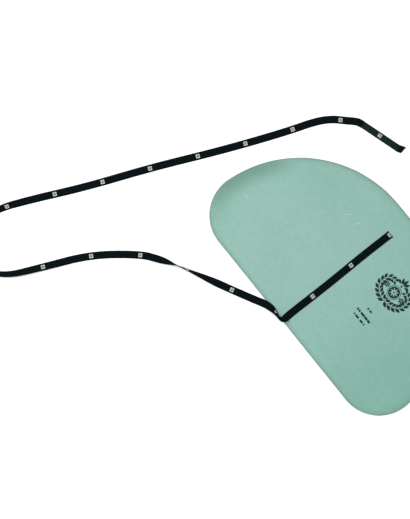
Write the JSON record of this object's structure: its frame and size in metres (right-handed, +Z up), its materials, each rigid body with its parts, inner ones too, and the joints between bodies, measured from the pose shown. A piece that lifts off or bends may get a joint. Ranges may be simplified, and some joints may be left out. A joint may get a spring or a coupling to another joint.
{
  "type": "saxophone pull-through swab",
  "caption": "Pull-through cleaning swab for a saxophone: a D-shaped microfibre cloth with an overlocked edge, a woven pull ribbon sewn to it and a weighted tip that swings on the ribbon.",
  "frame": {"origin": "centre of the cloth's outline, on the surface it lies on", "axes": "+X along the cloth's straight edge, +Y from the straight edge to the crown along the sewn-on ribbon, +Z up"},
  "size_m": [0.5878, 0.5819, 0.0031],
  "materials": {
    "microfibre": "brushed microfibre suede",
    "overlock_thread": "fine overlock thread",
    "ribbon_weave": "plain woven polyester ribbon",
    "black_thread": "bonded sewing thread",
    "slug_steel": "tumbled"
  },
  "bodies": {
    "swab": {"cleaning_cloth": "microfibre", "edge_overlock": "overlock_thread", "pull_ribbon": "ribbon_weave", "ribbon_seam_stitches": "black_thread"},
    "weighted_tip": {"tip_sleeve": "ribbon_weave", "tip_weight": "slug_steel", "neck_stitches": "black_thread", "side_seam_stitches": "black_thread", "end_fold_stitches": "black_thread"}
  },
  "joints": [
    {"name": "tip_swing", "type": "hinge", "parent": "swab", "child": "weighted_tip", "pos_m": [-0.1452, 0.1475, 0.0005], "axis": [0.2974, -0.9548, 0], "range_deg": [0, 120]}
  ]
}
